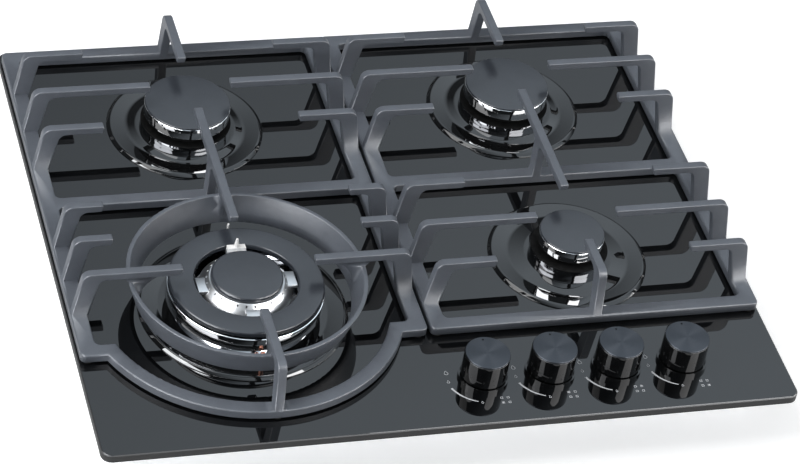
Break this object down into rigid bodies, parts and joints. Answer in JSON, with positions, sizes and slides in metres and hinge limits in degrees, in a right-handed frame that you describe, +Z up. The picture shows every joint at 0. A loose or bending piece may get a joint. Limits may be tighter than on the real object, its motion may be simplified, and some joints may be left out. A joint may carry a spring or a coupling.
{
  "type": "gas cooktop",
  "caption": "Built-in black glass gas cooktop with a wok burner, ordinary burners, cast pan supports and push-and-turn knobs along the front.",
  "frame": {"origin": "middle of the pan underside, which is the bottom centre of the whole cooktop", "axes": "+X right, +Y to the rear, +Z up"},
  "size_m": [0.59, 0.51, 0.1016],
  "materials": {
    "black_glass": "polished black toughened glass",
    "seal_rubber": "soft foam rubber",
    "pan_steel": "zinc-coated pressed steel",
    "screw_steel": "zinc plated",
    "rail_steel": "plain steel",
    "inlet_brass": "machined",
    "tube_aluminium": "drawn tube",
    "tap_aluminium": "die cast",
    "module_plastic": "moulded",
    "trim_black": "gloss black",
    "white_ceramic": "glazed white",
    "copper_tip": "copper-coloured tip",
    "grate_iron": "matt black-grey enamel",
    "pad_rubber": "silicone rubber",
    "crown_chrome": "polished band",
    "crown_aluminium": "bright machined",
    "cap_enamel": "matt enamel",
    "bowl_enamel": "gloss enamel",
    "cup_aluminium": "polished casting",
    "knob_black": "high gloss",
    "knob_face_metal": "radially brushed disc"
  },
  "bodies": {
    "cooktop_base": {"base_pan": "pan_steel", "fixing_screws": "screw_steel", "front_right_bowl": "bowl_enamel", "front_right_crown": "crown_chrome", "front_right_cup": "cup_aluminium", "front_right_tap": "tap_aluminium", "gas_inlet": "inlet_brass", "gas_rail": "rail_steel", "gas_tubes": "tube_aluminium", "glass_top": "black_glass", "ignition_module": "module_plastic", "injectors": "inlet_brass", "knob_collars": "trim_black", "rear_left_bowl": "bowl_enamel", "rear_left_crown": "crown_chrome", "rear_left_cup": "cup_aluminium", "rear_left_tap": "tap_aluminium", "rear_right_bowl": "bowl_enamel", "rear_right_crown": "crown_chrome", "rear_right_cup": "cup_aluminium", "rear_right_tap": "tap_aluminium", "spark_electrodes": "white_ceramic", "thermocouples": "copper_tip", "wok_bowl": "bowl_enamel", "wok_cup": "cup_aluminium", "wok_inner_crown": "crown_aluminium", "wok_inner_electrode": "white_ceramic", "wok_outer_crown": "crown_chrome", "wok_tap": "tap_aluminium", "worktop_clamps": "pan_steel", "worktop_seal": "seal_rubber"},
    "left_grate": {"left_grate": "grate_iron", "left_grate_pads": "pad_rubber"},
    "right_grate": {"right_grate": "grate_iron", "right_grate_pads": "pad_rubber"},
    "wok_ring_cap": {"wok_ring_cap": "cap_enamel"},
    "wok_inner_cap": {"wok_inner_cap": "cap_enamel"},
    "rear_left_cap": {"rear_left_cap": "cap_enamel"},
    "rear_right_cap": {"rear_right_cap": "cap_enamel"},
    "front_right_cap": {"front_right_cap": "cap_enamel"},
    "wok_plug": {"wok_plug": "inlet_brass", "wok_spring": "screw_steel"},
    "wok_knob": {"wok_knob": "knob_black", "wok_knob_face": "knob_face_metal", "wok_stem": "screw_steel"},
    "rear_left_plug": {"rear_left_plug": "inlet_brass", "rear_left_spring": "screw_steel"},
    "rear_left_knob": {"rear_left_knob": "knob_black", "rear_left_knob_face": "knob_face_metal", "rear_left_stem": "screw_steel"},
    "rear_right_plug": {"rear_right_plug": "inlet_brass", "rear_right_spring": "screw_steel"},
    "rear_right_knob": {"rear_right_knob": "knob_black", "rear_right_knob_face": "knob_face_metal", "rear_right_stem": "screw_steel"},
    "front_right_plug": {"front_right_plug": "inlet_brass", "front_right_spring": "screw_steel"},
    "front_right_knob": {"front_right_knob": "knob_black", "front_right_knob_face": "knob_face_metal", "front_right_stem": "screw_steel"}
  },
  "joints": [
    {"name": "left_grate_lift", "type": "slide", "parent": "cooktop_base", "child": "left_grate", "axis": [0, 0, 1], "range_m": [0, 0.04]},
    {"name": "right_grate_lift", "type": "slide", "parent": "cooktop_base", "child": "right_grate", "axis": [0, 0, 1], "range_m": [0, 0.04]},
    {"name": "rear_left_cap_lift", "type": "slide", "parent": "cooktop_base", "child": "rear_left_cap", "axis": [0, 0, 1], "range_m": [0, 0.012]},
    {"name": "rear_right_cap_lift", "type": "slide", "parent": "cooktop_base", "child": "rear_right_cap", "axis": [0, 0, 1], "range_m": [0, 0.012]},
    {"name": "front_right_cap_lift", "type": "slide", "parent": "cooktop_base", "child": "front_right_cap", "axis": [0, 0, 1], "range_m": [0, 0.012]},
    {"name": "wok_ring_cap_lift", "type": "slide", "parent": "cooktop_base", "child": "wok_ring_cap", "axis": [0, 0, 1], "range_m": [0, 0.012]},
    {"name": "wok_inner_cap_lift", "type": "slide", "parent": "cooktop_base", "child": "wok_inner_cap", "axis": [0, 0, 1], "range_m": [0, 0.02]},
    {"name": "wok_knob_turn", "type": "hinge", "parent": "cooktop_base", "child": "wok_plug", "pos_m": [0.0325, -0.2015, 0.06], "axis": [0, 0, 1], "range_deg": [0, 165]},
    {"name": "wok_knob_push", "type": "slide", "parent": "wok_plug", "child": "wok_knob", "axis": [0, 0, -1], "range_m": [0, 0.003], "stiffness_N_per_m": 1500, "springref_m": -0.002, "deforming": ["wok_spring"]},
    {"name": "rear_left_knob_turn", "type": "hinge", "parent": "cooktop_base", "child": "rear_left_plug", "pos_m": [0.0906, -0.2015, 0.06], "axis": [0, 0, 1], "range_deg": [0, 165]},
    {"name": "rear_left_knob_push", "type": "slide", "parent": "rear_left_plug", "child": "rear_left_knob", "axis": [0, 0, -1], "range_m": [0, 0.003], "stiffness_N_per_m": 1500, "springref_m": -0.002, "deforming": ["rear_left_spring"]},
    {"name": "rear_right_knob_turn", "type": "hinge", "parent": "cooktop_base", "child": "rear_right_plug", "pos_m": [0.1487, -0.2015, 0.06], "axis": [0, 0, 1], "range_deg": [0, 165]},
    {"name": "rear_right_knob_push", "type": "slide", "parent": "rear_right_plug", "child": "rear_right_knob", "axis": [0, 0, -1], "range_m": [0, 0.003], "stiffness_N_per_m": 1500, "springref_m": -0.002, "deforming": ["rear_right_spring"]},
    {"name": "front_right_knob_turn", "type": "hinge", "parent": "cooktop_base", "child": "front_right_plug", "pos_m": [0.2068, -0.2015, 0.06], "axis": [0, 0, 1], "range_deg": [0, 165]},
    {"name": "front_right_knob_push", "type": "slide", "parent": "front_right_plug", "child": "front_right_knob", "axis": [0, 0, -1], "range_m": [0, 0.003], "stiffness_N_per_m": 1500, "springref_m": -0.002, "deforming": ["front_right_spring"]}
  ]
}
